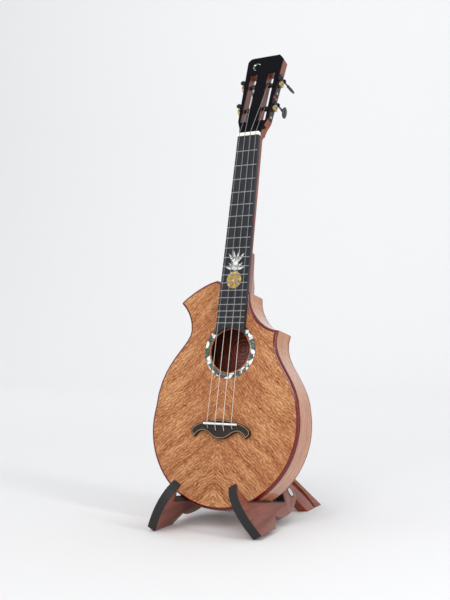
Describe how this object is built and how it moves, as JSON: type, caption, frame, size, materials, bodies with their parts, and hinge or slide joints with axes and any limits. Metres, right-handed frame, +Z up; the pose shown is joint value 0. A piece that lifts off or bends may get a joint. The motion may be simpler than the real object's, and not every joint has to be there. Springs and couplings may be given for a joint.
{
  "type": "ukulele on stand",
  "caption": "Slotted-head ukulele with an asymmetric cutaway body, leaning in a folding wooden stand.",
  "frame": {"origin": "on the floor, at the middle of the footprint of the stand and instrument together", "axes": "+Z up, the instrument's strings face -Y, +X is to the right of somebody facing the strings"},
  "size_m": [0.2401, 0.315, 0.7062],
  "materials": {
    "spruce_top": "gloss",
    "rosewood": "satin",
    "pale_side": "gloss",
    "red_binding": "gloss",
    "pearl": "gloss",
    "red_lines": "gloss",
    "raw_spruce": "matt",
    "cedar_neck": "satin",
    "black_face": "gloss",
    "fingerboard_wood": "satin",
    "fret_wire": "polished",
    "bone": "satin",
    "gold_pearl": "gloss",
    "bridge_wood": "satin",
    "pale_line": "satin",
    "nylon": "translucent",
    "black_metal": "gloss",
    "brass": "polished",
    "screw_steel": "polished",
    "black_button": "gloss",
    "stand_wood": "satin",
    "rear_wood": "satin",
    "black_rubber": "matt",
    "stand_steel": "polished"
  },
  "bodies": {
    "stand": {"rear_board_left": "rear_wood", "rear_board_right": "rear_wood", "spine": "rear_wood", "back_pad": "black_rubber", "spine_bolts": "stand_steel", "pivot_pins": "stand_steel", "stop_pegs": "stand_steel"},
    "front_left": {"front_board_left": "stand_wood", "edge_strip_left": "black_rubber", "notch_pad_left": "black_rubber"},
    "front_right": {"front_board_right": "stand_wood", "edge_strip_right": "black_rubber", "notch_pad_right": "black_rubber"},
    "instrument": {"soundboard": "spruce_top", "back_plate": "rosewood", "side_wall": "pale_side", "binding_top": "red_binding", "binding_back": "red_binding", "rosette": "pearl", "rosette_lines": "red_lines", "lining_top": "raw_spruce", "lining_back": "raw_spruce", "end_blocks": "raw_spruce", "top_braces": "raw_spruce", "back_braces": "raw_spruce", "bridge_plate": "raw_spruce", "neck": "cedar_neck", "head_plate": "black_face", "head_mark": "pearl", "fretboard": "fingerboard_wood", "frets": "fret_wire", "nut": "bone", "inlay_leaf": "pearl", "inlay_fruit": "gold_pearl", "bridge": "bridge_wood", "bridge_line": "pale_line", "saddle": "bone", "strings": "nylon", "string_eyes": "black_metal", "tuner_plates": "black_metal", "tuner_screws": "screw_steel"},
    "knob_1": {"worm_1": "brass", "button_1": "black_button"},
    "winder_1": {"roller_1": "black_metal", "gear_1": "brass"},
    "knob_2": {"worm_2": "brass", "button_2": "black_button"},
    "winder_2": {"roller_2": "black_metal", "gear_2": "brass"},
    "knob_3": {"worm_3": "brass", "button_3": "black_button"},
    "winder_3": {"roller_3": "black_metal", "gear_3": "brass"},
    "knob_4": {"worm_4": "brass", "button_4": "black_button"},
    "winder_4": {"roller_4": "black_metal", "gear_4": "brass"}
  },
  "joints": [
    {"name": "front_left_fold", "type": "hinge", "parent": "stand", "child": "front_left", "pos_m": [-0.0545, 0.026, 0.03204], "axis": [0.866, 0, -0.5], "range_deg": [0, 145]},
    {"name": "front_right_fold", "type": "hinge", "parent": "stand", "child": "front_right", "pos_m": [0.0545, 0.026, 0.03204], "axis": [0.866, 0, 0.5], "range_deg": [0, 145]},
    {"name": "lift_off", "type": "slide", "parent": "stand", "child": "instrument", "axis": [0.0199, 0.1898, 0.9816], "range_m": [0, 0.12]},
    {"name": "knob_1_turn", "type": "hinge", "parent": "instrument", "child": "knob_1", "pos_m": [-0.02144, 0.04092, 0.62202], "axis": [0.0939, 0.9566, -0.2758], "continuous": true},
    {"name": "winder_1_turn", "type": "hinge", "parent": "instrument", "child": "winder_1", "pos_m": [-0.01709, 0.03834, 0.61453], "axis": [-0.9954, 0.0843, -0.0464], "continuous": true},
    {"name": "knob_2_turn", "type": "hinge", "parent": "instrument", "child": "knob_2", "pos_m": [0.03939, 0.03453, 0.62202], "axis": [0.107, 0.9552, -0.2758], "continuous": true},
    {"name": "winder_2_turn", "type": "hinge", "parent": "instrument", "child": "winder_2", "pos_m": [0.0346, 0.0329, 0.61453], "axis": [0.9911, -0.1245, -0.0464], "continuous": true},
    {"name": "knob_3_turn", "type": "hinge", "parent": "instrument", "child": "knob_3", "pos_m": [-0.02183, 0.0586, 0.66237], "axis": [0.0939, 0.9566, -0.2758], "continuous": true},
    {"name": "winder_3_turn", "type": "hinge", "parent": "instrument", "child": "winder_3", "pos_m": [-0.01748, 0.05602, 0.65488], "axis": [-0.9954, 0.0843, -0.0464], "continuous": true},
    {"name": "knob_4_turn", "type": "hinge", "parent": "instrument", "child": "knob_4", "pos_m": [0.04345, 0.05174, 0.66237], "axis": [0.107, 0.9552, -0.2758], "continuous": true},
    {"name": "winder_4_turn", "type": "hinge", "parent": "instrument", "child": "winder_4", "pos_m": [0.03865, 0.05012, 0.65488], "axis": [0.9911, -0.1245, -0.0464], "continuous": true}
  ],
  "couplings": [
    {"joint": "winder_1_turn", "follows": "knob_1_turn", "ratio": -0.071429},
    {"joint": "winder_2_turn", "follows": "knob_2_turn", "ratio": 0.071429},
    {"joint": "winder_3_turn", "follows": "knob_3_turn", "ratio": -0.071429},
    {"joint": "winder_4_turn", "follows": "knob_4_turn", "ratio": 0.071429}
  ]
}
